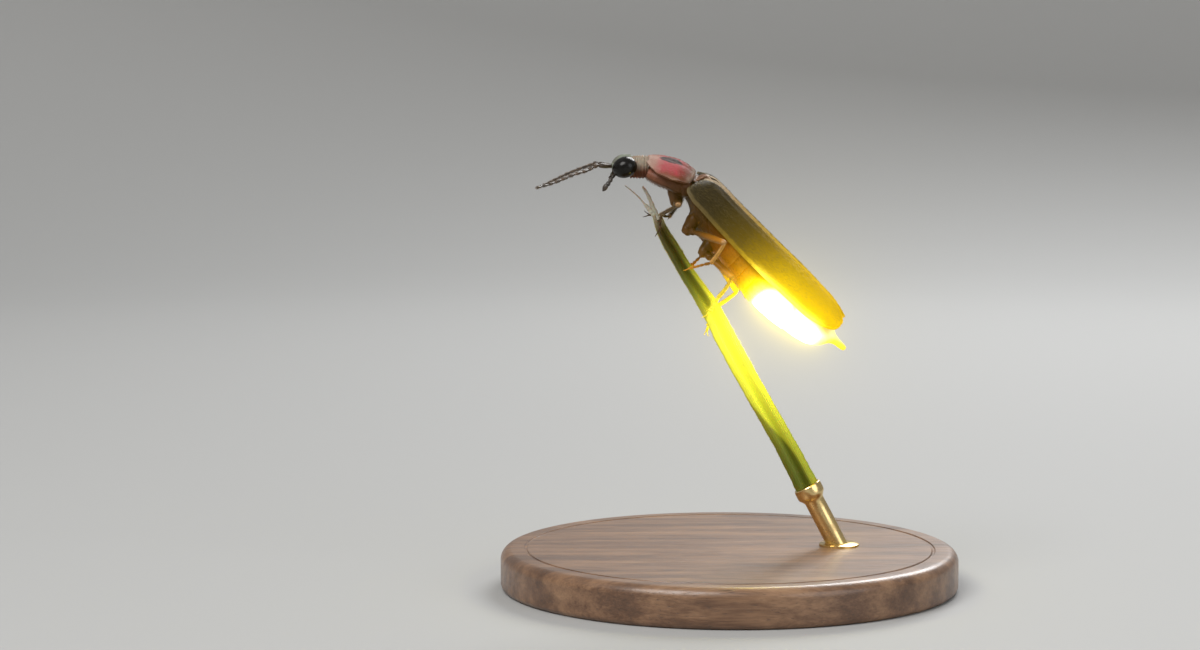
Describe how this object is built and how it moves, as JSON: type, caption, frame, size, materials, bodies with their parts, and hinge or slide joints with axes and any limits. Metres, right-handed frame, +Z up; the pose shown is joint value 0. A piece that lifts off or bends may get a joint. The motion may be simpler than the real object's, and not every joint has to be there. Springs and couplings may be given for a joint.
{
  "type": "firefly",
  "caption": "Still life-size firefly with a lit lantern, clinging head-up to a torn grass blade on a small round stand.",
  "frame": {"origin": "centre of the round base's underside", "axes": "+Z up; -X towards the insect's head end; -Y is the side its left flank faces, where the picture looks from"},
  "size_m": [0.023, 0.023, 0.0218],
  "materials": {
    "cuticle": "satin, dark brown horn",
    "wing_case": "satin, dark brown with pale rims",
    "pronotum_shell": "satin, cream with a pink disc",
    "membrane": "soft, pale and wrinkled",
    "eye": "gloss, faceted black",
    "belly": "satin, orange brown",
    "lantern": "satin, glowing yellow green",
    "grass": "satin, ribbed leaf",
    "walnut": "oiled",
    "brass_rod": "brushed"
  },
  "bodies": {
    "root": {"elytron_left": "wing_case", "elytron_right": "wing_case", "scutellum": "pronotum_shell", "thorax": "cuticle", "abdomen": "belly", "lantern_front": "lantern", "lantern_rear": "lantern", "abdomen_tip": "lantern", "pronotum": "pronotum_shell", "prothorax": "pronotum_shell", "neck": "membrane", "head": "cuticle", "eye_left": "eye", "eye_right": "eye", "antenna_left": "cuticle", "antenna_right": "cuticle", "palp_left": "cuticle", "palp_right": "cuticle", "grass_blade": "grass", "stand_rod": "brass_rod", "stand_base": "walnut", "leg_front_left_femur": "cuticle", "leg_front_left_tibia": "cuticle", "leg_front_left_tarsus": "cuticle", "leg_front_right_femur": "cuticle", "leg_front_right_tibia": "cuticle", "leg_front_right_tarsus": "cuticle", "leg_mid_left_femur": "cuticle", "leg_mid_left_tibia": "cuticle", "leg_mid_left_tarsus": "cuticle", "leg_mid_right_femur": "cuticle", "leg_mid_right_tibia": "cuticle", "leg_mid_right_tarsus": "cuticle", "leg_hind_left_femur": "cuticle", "leg_hind_left_tibia": "cuticle", "leg_hind_left_tarsus": "cuticle", "leg_hind_right_femur": "cuticle", "leg_hind_right_tibia": "cuticle", "leg_hind_right_tarsus": "cuticle"}
  },
  "joints": []
}
